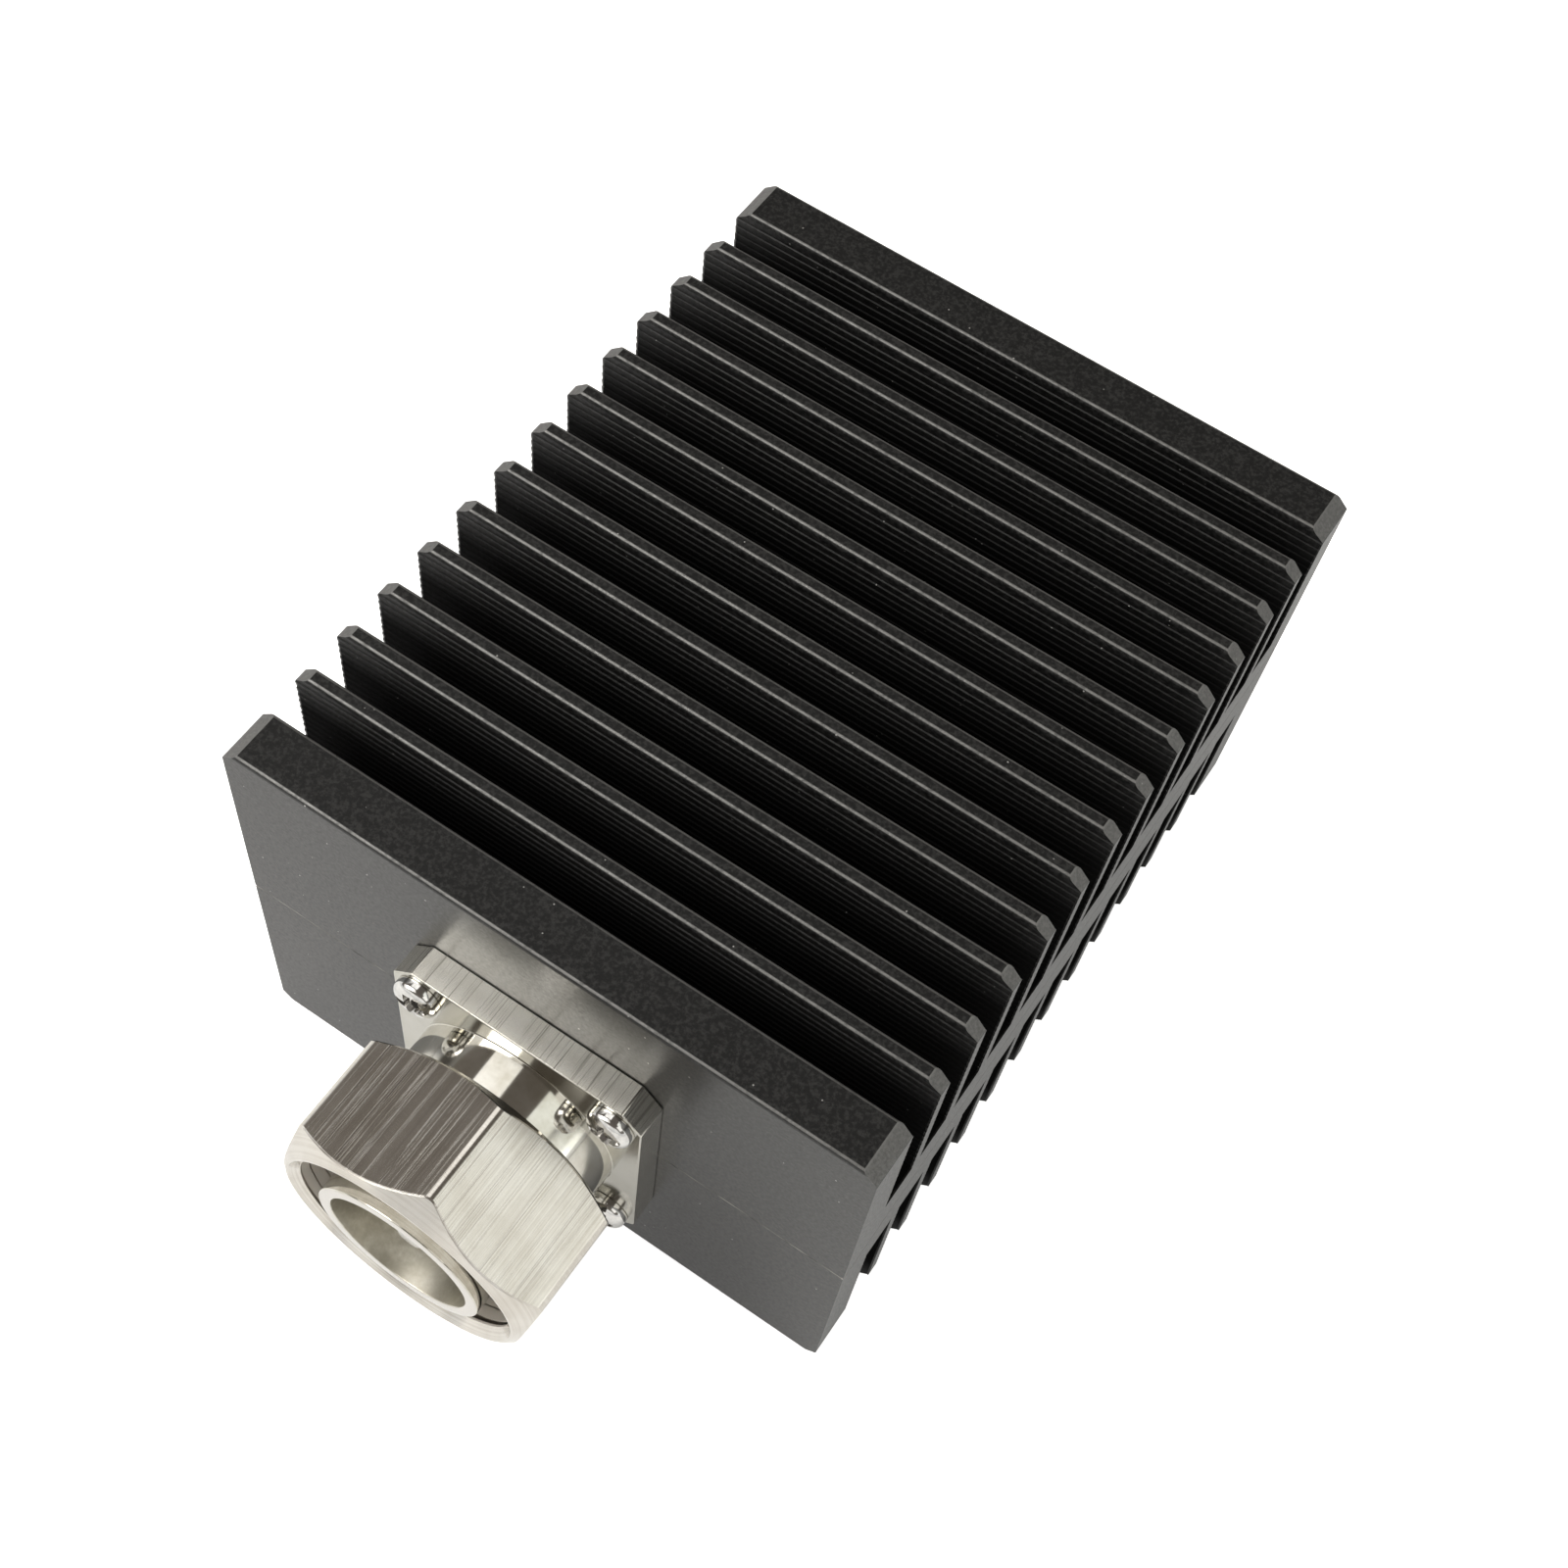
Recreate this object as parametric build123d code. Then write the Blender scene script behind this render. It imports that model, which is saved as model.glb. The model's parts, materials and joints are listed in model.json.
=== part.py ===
from build123d import *
import math
import os

# Coaxial dummy load: a finned aluminium block in two halves, with a 7/16 plug on its front.
# Sizes are in millimetres. Every piece is drawn with the origin on the connector's axis at the
# block's front face, +Y into the block and +Z up, and is moved to the final frame at the end.

# block
block_width = 80.0          # along the fins
block_length = 100.39       # from the front plate's face to the back plate's
front_plate = 6.6           # thick end fin behind the connector
back_plate = 6.25           # thick end fin at the far end
fin_count = 12
fin_thickness = 1.9
web_half = 7.85             # solid middle of one half, from the seam to the fin roots
fin_height = 21.85          # from the web to the fin tips
tip_bevel = 0.35            # both edges of every fin tip
end_chamfer_x = 1.86        # sloped cut across the tips at both ends of the fins
end_chamfer_z = 1.54
seam_bevel = 0.2            # small bevel where the two halves meet

# screws that hold the halves together
clamp_thread_r = 1.25
clamp_head_r = 2.25
clamp_head_h = 2.5
clamp_socket_flats = 2.0
clamp_socket_depth = 1.2
clamp_bite = 5.8            # length of thread in the upper half
clamp_hole_clearance = 0.1  # round the screws in the lower half, on the radius
clamp_x = 30.0
clamp_channels = (1, 11)    # channels that hold a pair of screws, counted from the front

# connector body
flange_margin = 3.5         # from a screw's middle to the edge of the flange
flange_thickness = 4.0
flange_corner = 2.5
neck_r = 12.75
neck_end = 14.0             # distance of the neck's front shoulder from the block
tube_r = 10.5
tube_reach = 25.1           # distance of the tube's rim from the block
socket_r = 8.9              # wide mouth of the tube
socket_depth = 8.5
line_r = 8.0                # bore behind the mouth
bead_r = 9.0                # counterbore for bead and bush
bead_front = 12.0           # distance of the bead's front face from the block
bead_length = 5.0

# screws of the flange
screw_spacing = 25.0
screw_thread_r = 1.5
screw_hole_r = 1.7
screw_length = 8.0
screw_head_r = 2.75
screw_head_h = 1.9
screw_top_r = 2.2
screw_side_h = 1.2          # straight side of the pan head, below its crown
thread_clearance = 0.05     # between a screw's thread and the tapped hole, on the radius
drill_run = 0.5             # tapped holes go this much deeper than their screws

# centre conductor
pin_r = 3.5
pin_recess = 2.0            # tip below the tube's rim
pin_nose = 3.2
pin_tip_r = 1.5
pin_shoulder_r = 2.5        # where the two cones of the nose meet
pin_shoulder = 1.4          # distance of that line behind the tip
waist_r = 2.39              # through the bead
stud_r = 1.5
stud_length = 4.0
contact_r = 2.5
contact_reach = 13.0        # rear end of the contact, inside the block
contact_slot = 3.0
rear_line_r = 5.75          # air line round the rear contact

# coupling nut
nut_flats = 31.4
nut_corner_r = 17.8
nut_front = 24.9            # distance of the front face from the block
nut_back = 9.3
nut_front_r = 15.0
nut_front_slope = 2.2       # length of the front bevel, down to the corners
nut_back_r = 14.9
nut_back_slope = 1.6
nut_lead_r = 14.7
nut_lead_depth = 1.1
nut_thread_r = 13.8         # inner radius of the M29 x 1.5 thread
nut_thread_end = 16.5       # distance of the thread's last turn from the block
nut_relief_r = 14.6
nut_collar = 3.9            # length of the collar that runs on the neck
nut_turn = 11.9             # how far the nut stands turned, in degrees
running_clearance = 0.08    # between nut and neck, on the radius

# retaining ring and seal
ring_width = 1.1
ring_centre = 11.6          # distance of the ring's middle from the block
ring_depth = 0.75           # depth of the groove in the neck
ring_height = 1.25
ring_gap_angle = 24.0
ring_side_clearance = 0.05
ring_run_clearance = 0.15   # between the ring and the nut's groove
gasket_thickness = 1.6
gasket_r = 12.5
gasket_seat_r = 10.9        # boss at the foot of the tube, inside the seal

# termination resistor, on the centre line of the seam
lead_thickness = 0.25
lead_width = 2.2
lead_overlap = 1.5          # lead on the ceramic
lead_back_off = 0.4         # lead's end short of the slot's floor
chip_side = 9.0
chip_thickness = 1.0
chip_set_back = 3.3         # ceramic behind the end of the rear contact
film_side = 6.0
film_thickness = 0.05
cover_side = 8.6
cover_height = 1.3
cover_wall = 0.8
cover_recess = 0.45
cover_mouth = 2.6           # opening of the cover over the lead
mount_spacing = 18.4
mount_end = 3.2             # from the middle of a hole to the end of the resistor's flange
mount_width = 9.6
mount_thickness = 1.6
mount_hole_r = 1.65
foil_thickness = 0.2
resistor_bite = 4.0         # length of thread in the lower half
resistor_head_r = 2.75
resistor_head_h = 2.0
washer_r = 2.9
washer_thickness = 0.8
pocket_clearance = 1.0      # round the resistor's flange
pocket_corner = 1.5
pocket_front = 5.0          # start of the pocket ahead of the rear contact's end
pocket_roof = 2.6           # depth of the pocket in the upper half

seat_clearance = 0.02       # between turned pieces that seat in each other, on the radius

# sizes that follow
fin_pitch = (block_length - front_plate - back_plate + fin_thickness) / (fin_count + 1)
gap = fin_pitch - fin_thickness
half_height = web_half + fin_height
flange_side = screw_spacing + 2 * flange_margin
line_start = bead_front - bead_length
mount_length = mount_spacing + 2 * mount_end
chip_front = contact_reach + chip_set_back
chip_middle = chip_front + chip_side / 2
chip_top = -lead_thickness / 2
mount_top = chip_top - chip_thickness
pocket_floor = mount_top - mount_thickness - foil_thickness
pocket_start = contact_reach - pocket_front
pocket_end = chip_middle + mount_width / 2 + pocket_clearance
to_frame = Location((0, (tube_reach - block_length) / 2, half_height))

connector_axis = Axis((0, 0, 0), (0, 1, 0))


def export(pieces, name):
    # one solid, or a list of like solids that share a file
    placed = [to_frame * solid for piece in pieces for solid in piece.solids()]
    export_step(Compound(placed) if len(placed) > 1 else placed[0], f"parts/{name}.step")


def turned(*corners):
    # a turned piece, from (radius, distance in front of the block) corners
    outline = Polyline(*[(r, -d) for r, d in corners], close=True)
    return revolve(Plane.XY * make_face(outline), connector_axis)


def rod(radius, front, back, x=0.0, z=0.0):
    # a plain cylinder along Y, between two distances in front of the block
    disc = Pos(x, -front, z) * Rot(-90, 0, 0) * Circle(radius)
    return extrude(disc, front - back)


def post(radius, x, y, bottom, top):
    # a plain cylinder along Z
    return extrude(Pos(x, y, bottom) * Circle(radius), top - bottom)


def slab(size_x, size_y, y_middle, bottom, top):
    return Pos(0, y_middle, bottom) * extrude(Rectangle(size_x, size_y), top - bottom)


# the two halves of the block
def comb():
    # section across the fins, from the front plate to the back plate
    section = Pos(block_length / 2, half_height / 2) * Rectangle(block_length, half_height)
    for i in range(fin_count + 1):
        middle = front_plate + gap / 2 + i * fin_pitch
        section -= Pos(middle, half_height - fin_height / 2) * Rectangle(gap, fin_height)
    section = chamfer(section.vertices().group_by(Axis.Y)[-1], tip_bevel)
    section = chamfer(section.vertices().group_by(Axis.Y)[0], seam_bevel)
    return extrude(Plane.YZ * section, block_width / 2, both=True)


def end_form():
    # outline seen along Y, with the sloped cuts over both ends of the fins
    side = block_width / 2
    shoulder = half_height - end_chamfer_z
    outline = Polyline(
        (-side + seam_bevel, 0), (-side, seam_bevel), (-side, shoulder),
        (-side + end_chamfer_x, half_height), (side - end_chamfer_x, half_height),
        (side, shoulder), (side, seam_bevel), (side - seam_bevel, 0), close=True,
    )
    return extrude(Plane.XZ * make_face(outline), -block_length)


def half():
    return comb() & end_form()


def pocket(bottom, top):
    # room for the resistor, and the line that leads to it from the front
    width = mount_length + 2 * pocket_clearance
    length = pocket_end - pocket_start
    outline = RectangleRounded(width, length, pocket_corner)
    return Pos(0, (pocket_start + pocket_end) / 2, bottom) * extrude(outline, top - bottom)


def line_bore():
    # bore round the rear contact, from the front face into the pocket
    return rod(rear_line_r, 0, -(pocket_start + pocket_end) / 2)


def flange_holes(side):
    # tapped holes of one half for the flange's screws
    holes = []
    for x in (-screw_spacing / 2, screw_spacing / 2):
        z = side * screw_spacing / 2
        holes.append(rod(screw_thread_r + thread_clearance, 0, -front_plate, x, z))
    return holes


def clamp_places():
    for channel in clamp_channels:
        y = front_plate + gap / 2 + channel * fin_pitch
        for x in (-clamp_x, clamp_x):
            yield x, y


def upper_heatsink(blank):
    cuts = [pocket(0, pocket_roof), line_bore(), *flange_holes(1)]
    for x, y in clamp_places():
        cuts.append(post(clamp_thread_r + thread_clearance, x, y, 0, clamp_bite + drill_run))
    return blank - cuts


def lower_heatsink(blank):
    cuts = [pocket(pocket_floor, 0), line_bore(), *flange_holes(-1)]
    for x, y in clamp_places():
        cuts.append(post(clamp_thread_r + clamp_hole_clearance, x, y, -web_half, 0))
    bottom = pocket_floor - resistor_bite - drill_run
    cuts.extend(mount_holes(screw_thread_r + thread_clearance, bottom, pocket_floor))
    return blank.rotate(connector_axis, 180) - cuts


def clamp_screw(x, y):
    # socket head in a lower channel, thread up into the upper half
    under = -web_half
    head = post(clamp_head_r, x, y, under - clamp_head_h, under)
    socket = RegularPolygon(clamp_socket_flats / 2, 6, major_radius=False)
    head -= extrude(Pos(x, y, under - clamp_head_h) * socket, clamp_socket_depth)
    return head + post(clamp_thread_r, x, y, under, clamp_bite)


# the connector
def connector_body():
    flange = Pos(0, -flange_thickness / 2, 0) * Box(flange_side, flange_thickness, flange_side)
    flange = chamfer(flange.edges().filter_by(Axis.Y), flange_corner)
    groove_front = ring_centre + ring_width / 2 + ring_side_clearance
    groove_back = ring_centre - ring_width / 2 - ring_side_clearance
    barrel = turned(
        (bead_r, 0), (neck_r, 0), (neck_r, groove_back), (neck_r - ring_depth, groove_back),
        (neck_r - ring_depth, groove_front), (neck_r, groove_front), (neck_r, neck_end),
        (gasket_seat_r, neck_end), (gasket_seat_r, neck_end + gasket_thickness),
        (tube_r, neck_end + gasket_thickness), (tube_r, tube_reach), (socket_r, tube_reach),
        (socket_r, tube_reach - socket_depth), (line_r, tube_reach - socket_depth),
        (line_r, bead_front), (bead_r, bead_front),
    )
    body = flange + barrel - rod(bead_r, flange_thickness, 0)
    for x, z in screw_places():
        body -= rod(screw_hole_r, flange_thickness, 0, x, z)
    return body


def screw_places():
    reach = screw_spacing / 2
    return [(x, z) for x in (-reach, reach) for z in (reach, -reach)]


def flange_screw(x, z):
    # pan head and shank, turned as one piece
    under, top = flange_thickness, flange_thickness + screw_head_h
    tip = under - screw_length
    screw = turned((0, tip), (screw_thread_r, tip), (screw_thread_r, under), (screw_head_r, under),
                   (screw_head_r, under + screw_side_h), (screw_top_r, top), (0, top))
    return Pos(x, 0, z) * screw


def hexagon():
    # six flats, turned down at the corners
    across = RegularPolygon(nut_flats / 2, 6, major_radius=False, rotation=30)
    prism = Pos(0, -nut_front, 0) * Rot(-90, 0, 0) * extrude(across, nut_front - nut_back)
    form = turned(
        (0, nut_back), (nut_back_r, nut_back), (nut_corner_r, nut_back + nut_back_slope),
        (nut_corner_r, nut_front - nut_front_slope), (nut_front_r, nut_front), (0, nut_front),
    )
    return prism & form


def coupling_nut():
    collar_r = neck_r + running_clearance
    collar_front = nut_back + nut_collar
    ring_r = neck_r - ring_depth + ring_height + ring_run_clearance
    groove = ring_width / 2 + ring_run_clearance
    bore = turned(
        (0, nut_back), (collar_r, nut_back), (collar_r, ring_centre - groove),
        (ring_r, ring_centre - groove), (ring_r, ring_centre + groove),
        (collar_r, ring_centre + groove), (collar_r, collar_front), (nut_relief_r, collar_front),
        (nut_relief_r, nut_thread_end), (nut_thread_r, nut_thread_end),
        (nut_thread_r, nut_front - nut_lead_depth), (nut_lead_r, nut_front), (0, nut_front),
    )
    return (hexagon() - bore).rotate(connector_axis, nut_turn)


def nut_retaining_ring():
    inner = neck_r - ring_depth + seat_clearance
    outer = neck_r - ring_depth + ring_height
    front, back = ring_centre + ring_width / 2, ring_centre - ring_width / 2
    ring = rod(outer, front, back) - rod(inner, front, back)
    half_gap = math.radians(ring_gap_angle / 2)
    opening = Polyline((0, 0), (2 * outer, -2 * outer * math.tan(half_gap)),
                       (2 * outer, 2 * outer * math.tan(half_gap)), close=True)
    wedge = extrude(Rot(90, 0, 0) * make_face(opening), front - back)
    return ring - Pos(0, -back, 0) * wedge


def face_gasket():
    inner = gasket_seat_r + seat_clearance
    return turned((inner, neck_end), (gasket_r, neck_end), (gasket_r, neck_end + gasket_thickness),
                  (inner, neck_end + gasket_thickness))


def insulator_bead():
    outer = bead_r - seat_clearance
    inner = waist_r + seat_clearance
    return rod(outer, bead_front, line_start) - rod(inner, bead_front, line_start)


def rear_bush():
    outer = bead_r - seat_clearance
    return rod(outer, line_start, 0) - rod(rear_line_r, line_start, 0)


def centre_pin():
    tip_at = tube_reach - pin_recess
    nose_at = tip_at - pin_nose
    stud_end = line_start - stud_length
    return turned(
        (0, tip_at), (pin_tip_r, tip_at), (pin_shoulder_r, tip_at - pin_shoulder), (pin_r, nose_at),
        (pin_r, bead_front), (waist_r, bead_front), (waist_r, line_start), (stud_r, line_start),
        (stud_r, stud_end), (0, stud_end),
    )


def rear_contact():
    stud_hole = stud_length + drill_run
    body = rod(contact_r, line_start, -contact_reach)
    body -= rod(stud_r + seat_clearance, line_start, line_start - stud_hole)
    slot = slab(2 * contact_r, contact_slot, contact_reach - contact_slot / 2,
                chip_top, -chip_top)
    return body - slot


# the termination resistor
def mount_holes(radius, bottom, top):
    holes = []
    for x in (-mount_spacing / 2, mount_spacing / 2):
        holes.append(post(radius, x, chip_middle, bottom, top))
    return holes


def thermal_film():
    foil = slab(mount_length, mount_width, chip_middle, pocket_floor, pocket_floor + foil_thickness)
    return foil - mount_holes(mount_hole_r, pocket_floor, mount_top)


def resistor_flange():
    plate = slab(mount_length, mount_width, chip_middle, pocket_floor + foil_thickness, mount_top)
    return plate - mount_holes(mount_hole_r, pocket_floor, mount_top)


def resistor_substrate():
    return slab(chip_side, chip_side, chip_middle, mount_top, chip_top)


def resistor_lead():
    start = contact_reach - contact_slot + lead_back_off
    end = chip_front + lead_overlap
    return slab(lead_width, end - start, (start + end) / 2, chip_top, -chip_top)


def resistive_film():
    start = chip_front + lead_overlap
    return slab(film_side, film_side, start + film_side / 2, chip_top, chip_top + film_thickness)


def resistor_cover():
    lid = slab(cover_side, cover_side, chip_middle, chip_top, chip_top + cover_height)
    hollow = cover_side - 2 * cover_wall
    lid -= slab(hollow, hollow, chip_middle, chip_top, chip_top + cover_recess)
    mouth = slab(cover_mouth, chip_side, chip_front, chip_top, chip_top + cover_recess)
    return lid - mouth


def resistor_washers():
    top = mount_top + washer_thickness
    washers = []
    for x in (-mount_spacing / 2, mount_spacing / 2):
        disc = post(washer_r, x, chip_middle, mount_top, top)
        washers.append(disc - post(mount_hole_r, x, chip_middle, mount_top, top))
    return washers


def resistor_screws():
    under = mount_top + washer_thickness
    screws = []
    for x in (-mount_spacing / 2, mount_spacing / 2):
        head = post(resistor_head_r, x, chip_middle, under, under + resistor_head_h)
        shank = post(screw_thread_r, x, chip_middle, pocket_floor - resistor_bite, under)
        screws.append(head + shank)
    return screws


os.makedirs("parts", exist_ok=True)

blank = half()
export([upper_heatsink(blank)], "upper_heatsink")
export([lower_heatsink(blank)], "lower_heatsink")
export([clamp_screw(x, y) for x, y in clamp_places()], "clamp_screws")
export([connector_body()], "connector_body")
export([flange_screw(x, z) for x, z in screw_places()], "flange_screws")
export([coupling_nut()], "coupling_nut")
export([nut_retaining_ring()], "nut_retaining_ring")
export([face_gasket()], "face_gasket")
export([insulator_bead()], "insulator_bead")
export([rear_bush()], "rear_bush")
export([centre_pin()], "centre_pin")
export([rear_contact()], "rear_contact")
export([thermal_film()], "thermal_film")
export([resistor_flange()], "resistor_flange")
export([resistor_substrate()], "resistor_substrate")
export([resistive_film()], "resistive_film")
export([resistor_lead()], "resistor_lead")
export([resistor_cover()], "resistor_cover")
export(resistor_washers(), "resistor_washers")
export(resistor_screws(), "resistor_screws")
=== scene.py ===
import json
import math

import bmesh
import bpy
from mathutils import Matrix, Vector


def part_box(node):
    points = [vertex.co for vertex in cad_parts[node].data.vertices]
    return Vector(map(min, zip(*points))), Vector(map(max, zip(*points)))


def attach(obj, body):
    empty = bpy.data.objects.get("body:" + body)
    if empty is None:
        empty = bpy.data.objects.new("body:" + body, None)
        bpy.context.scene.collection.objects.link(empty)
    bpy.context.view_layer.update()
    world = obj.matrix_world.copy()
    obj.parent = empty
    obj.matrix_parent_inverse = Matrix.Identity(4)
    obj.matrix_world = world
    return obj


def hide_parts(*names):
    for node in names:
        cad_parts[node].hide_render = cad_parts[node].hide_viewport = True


# Dummy load: two finned, anodised halves, a flange-mounted plug and its coupling nut.
# Pieces are drawn in millimetres and written in metres. d is the distance in front of the
# block's front face, r the distance from the connector's axis.

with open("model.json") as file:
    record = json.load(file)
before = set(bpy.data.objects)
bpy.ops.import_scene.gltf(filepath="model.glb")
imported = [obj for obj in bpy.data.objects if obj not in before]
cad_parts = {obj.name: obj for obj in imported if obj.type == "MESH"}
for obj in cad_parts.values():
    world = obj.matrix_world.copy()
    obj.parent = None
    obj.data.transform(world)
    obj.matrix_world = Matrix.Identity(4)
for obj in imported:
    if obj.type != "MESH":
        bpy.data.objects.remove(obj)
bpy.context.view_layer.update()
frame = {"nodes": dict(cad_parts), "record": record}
nodes = frame["nodes"]

mm = 0.001
blockLow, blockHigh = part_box("upper_heatsink")
faceY = blockLow.y          # front face of the block
axisZ = blockLow.z          # seam, and axis of the connector
halfHeight = (blockHigh.z - blockLow.z) / mm
blockLength = (blockHigh.y - blockLow.y) / mm
blockWidth = (blockHigh.x - blockLow.x) / mm


class Wire:
    # an output socket that can stand in ordinary arithmetic
    def __init__(self, graph, socket):
        self.graph = graph
        self.socket = socket

    def other(self, name):
        return Wire(self.graph, self.socket.node.outputs[name])

    def math(self, operation, *others):
        return self.graph.math(operation, self, *others)

    def __add__(self, other):
        return self.math("ADD", other)

    def __radd__(self, other):
        return self.math("ADD", other)

    def __sub__(self, other):
        return self.math("SUBTRACT", other)

    def __rsub__(self, other):
        return self.graph.math("SUBTRACT", other, self)

    def __mul__(self, other):
        return self.math("MULTIPLY", other)

    def __rmul__(self, other):
        return self.math("MULTIPLY", other)

    def __truediv__(self, other):
        return self.math("DIVIDE", other)

    def __rtruediv__(self, other):
        return self.graph.math("DIVIDE", other, self)

    def __mod__(self, other):
        return self.math("FLOORED_MODULO", other)

    def __lt__(self, other):
        return self.math("LESS_THAN", other)

    def __gt__(self, other):
        return self.math("GREATER_THAN", other)

    def __abs__(self):
        return self.math("ABSOLUTE")


class Graph:
    # a shader or geometry tree that is being wired
    def __init__(self, tree):
        self.tree = tree

    def node(self, kind, settings=None, values=None, output=0):
        made = self.tree.nodes.new(kind)
        for name, value in (settings or {}).items():
            if name == "stops":
                fillRamp(made.color_ramp, value)
            else:
                setattr(made, name, value)
        for name, value in (values or {}).items():
            socket = made.inputs[name]
            for item in value if isinstance(value, list) else [value]:
                if isinstance(item, Wire):
                    self.tree.links.new(item.socket, socket)
                else:
                    socket.default_value = item
        return Wire(self, made.outputs[output] if len(made.outputs) else None)

    def math(self, operation, *values):
        return self.node("ShaderNodeMath", {"operation": operation}, dict(enumerate(values)))

    def ramp(self, factor, *stops):
        return self.node("ShaderNodeValToRGB", {"stops": stops}, {0: factor})

    def spread(self, value, low, high, toLow=0.0, toHigh=1.0):
        # value between low and high becomes a value between toLow and toHigh
        return self.node("ShaderNodeMapRange", None,
                         {0: value, 1: low, 2: high, 3: toLow, 4: toHigh})


def fillRamp(ramp, stops):
    while len(ramp.elements) < len(stops):
        ramp.elements.new(1.0)
    for element, (position, colour) in zip(ramp.elements, stops):
        element.position = position
        element.color = (*colour, 1.0)


def addObject(name, mesh, body, material, sharp=30.0, standsFor=(), flatFrom=1e9):
    # a finished piece on its body: smooth below the sharp angle, flat on faces from flatFrom mm2 up
    made = bpy.data.objects.new(name, mesh)
    bpy.context.scene.collection.objects.link(made)
    if material:
        mesh.materials.clear()
        mesh.materials.append(material)
    mesh.shade_smooth()
    mesh.set_sharp_from_angle(angle=math.radians(sharp))
    for face in mesh.polygons:
        face.use_smooth = face.area < flatFrom * mm * mm
    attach(made, body)
    if standsFor:
        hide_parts(*standsFor)
    return made


def onAxis(r, angle, d):
    return Vector((r * math.cos(angle), 0, r * math.sin(angle))) * mm + Vector((0, faceY - d * mm, axisZ))


def joinRings(shell, first, second):
    # a band of faces between two rings of equally many vertices
    for i in range(len(first)):
        j = (i + 1) % len(first)
        shell.faces.new((first[i], first[j], second[j], second[i]))


def shellMesh(shell, name):
    mesh = bpy.data.meshes.new(name)
    shell.to_mesh(mesh)
    shell.free()
    return mesh


def turnedMesh(name, rows, angles, closed=True):
    # rows are (radius, distance), or functions of the angle that give them
    shell = bmesh.new()
    rings = []
    for row in rows:
        ring = []
        for angle in angles:
            r, d = row(angle) if callable(row) else row
            ring.append(shell.verts.new(onAxis(r, angle, d)))
        rings.append(ring)
    pairs = list(zip(rings, rings[1:]))
    if closed:
        pairs.append((rings[-1], rings[0]))
    for first, second in pairs:
        joinRings(shell, first, second)
    bmesh.ops.remove_doubles(shell, verts=shell.verts, dist=1e-7)
    bmesh.ops.recalc_face_normals(shell, faces=shell.faces)
    return shellMesh(shell, name)


def evenAngles(count):
    return [2 * math.pi * i / count for i in range(count)]


def arc(r, d, radius, start, end, steps=4):
    # points of a rounded edge in the (radius, distance) plane, from angle to angle in degrees
    points = []
    for i in range(steps + 1):
        a = math.radians(start + (end - start) * i / steps)
        points.append((r + radius * math.cos(a), d + radius * math.sin(a)))
    return points


def runTree(name, graph, sizes):
    # the tree's result as a plain mesh; its modifier is gone afterwards
    holder = bpy.data.objects.new(name + "Holder", bpy.data.meshes.new(name + "Holder"))
    bpy.context.scene.collection.objects.link(holder)
    modifier = holder.modifiers.new("build", "NODES")
    modifier.node_group = graph.tree
    for item in graph.tree.interface.items_tree:
        if item.in_out == "INPUT":
            modifier[item.identifier] = sizes[item.name]
    bpy.context.view_layer.update()
    evaluated = holder.evaluated_get(bpy.context.evaluated_depsgraph_get())
    mesh = bpy.data.meshes.new_from_object(evaluated)
    mesh.name = name
    holder.modifiers.remove(modifier)
    bpy.data.objects.remove(holder)
    return mesh


def newTree(name, sizes):
    # an empty geometry tree with one named input for each size, and a wire for each
    kinds = {int: "NodeSocketInt", float: "NodeSocketFloat", bpy.types.Material: "NodeSocketMaterial",
             bpy.types.Object: "NodeSocketObject"}
    tree = bpy.data.node_groups.new(name, "GeometryNodeTree")
    for label, value in sizes.items():
        tree.interface.new_socket(label, in_out="INPUT", socket_type=kinds[type(value)])
    tree.interface.new_socket("Geometry", in_out="OUTPUT", socket_type="NodeSocketGeometry")
    graph = Graph(tree)
    start = tree.nodes.new("NodeGroupInput")
    wires = {label: Wire(graph, start.outputs[label]) for label in sizes}
    return graph, wires


def endTree(graph, geometry, material):
    whole = graph.node("GeometryNodeRealizeInstances", None, {"Geometry": geometry})
    painted = graph.node("GeometryNodeSetMaterial", None, {"Geometry": whole, "Material": material})
    graph.node("NodeGroupOutput", None, {"Geometry": painted})


def newMaterial(name):
    material = bpy.data.materials.new(name)
    material.use_nodes = True
    graph = Graph(material.node_tree)
    shader = material.node_tree.nodes["Principled BSDF"]
    return material, graph, shader


def feed(graph, shader, values):
    for name, value in values.items():
        if isinstance(value, Wire):
            graph.tree.links.new(value.socket, shader.inputs[name])
        else:
            shader.inputs[name].default_value = value


def place(graph, stretch=(1, 1, 1)):
    # the object's own coordinates in millimetres, stretched along an axis where asked
    spot = graph.node("ShaderNodeTexCoord", output=3)
    scale = tuple(1 / mm * part for part in stretch)
    return graph.node("ShaderNodeVectorMath", {"operation": "MULTIPLY"}, {0: spot, 1: scale})


def noise(graph, spot, scale, detail=2.0, rough=0.5):
    return graph.node("ShaderNodeTexNoise", None,
                      {"Vector": spot, "Scale": scale, "Detail": detail, "Roughness": rough})


def bump(graph, height, distance, strength=1.0, below=None):
    values = {"Height": height, "Distance": distance * mm, "Strength": strength}
    if below:
        values["Normal"] = below
    return graph.node("ShaderNodeBump", None, values)


def mixColour(graph, factor, first, second):
    return graph.node("ShaderNodeMix", {"data_type": "RGBA"}, {0: factor, 6: first, 7: second}, output=2)


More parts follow.
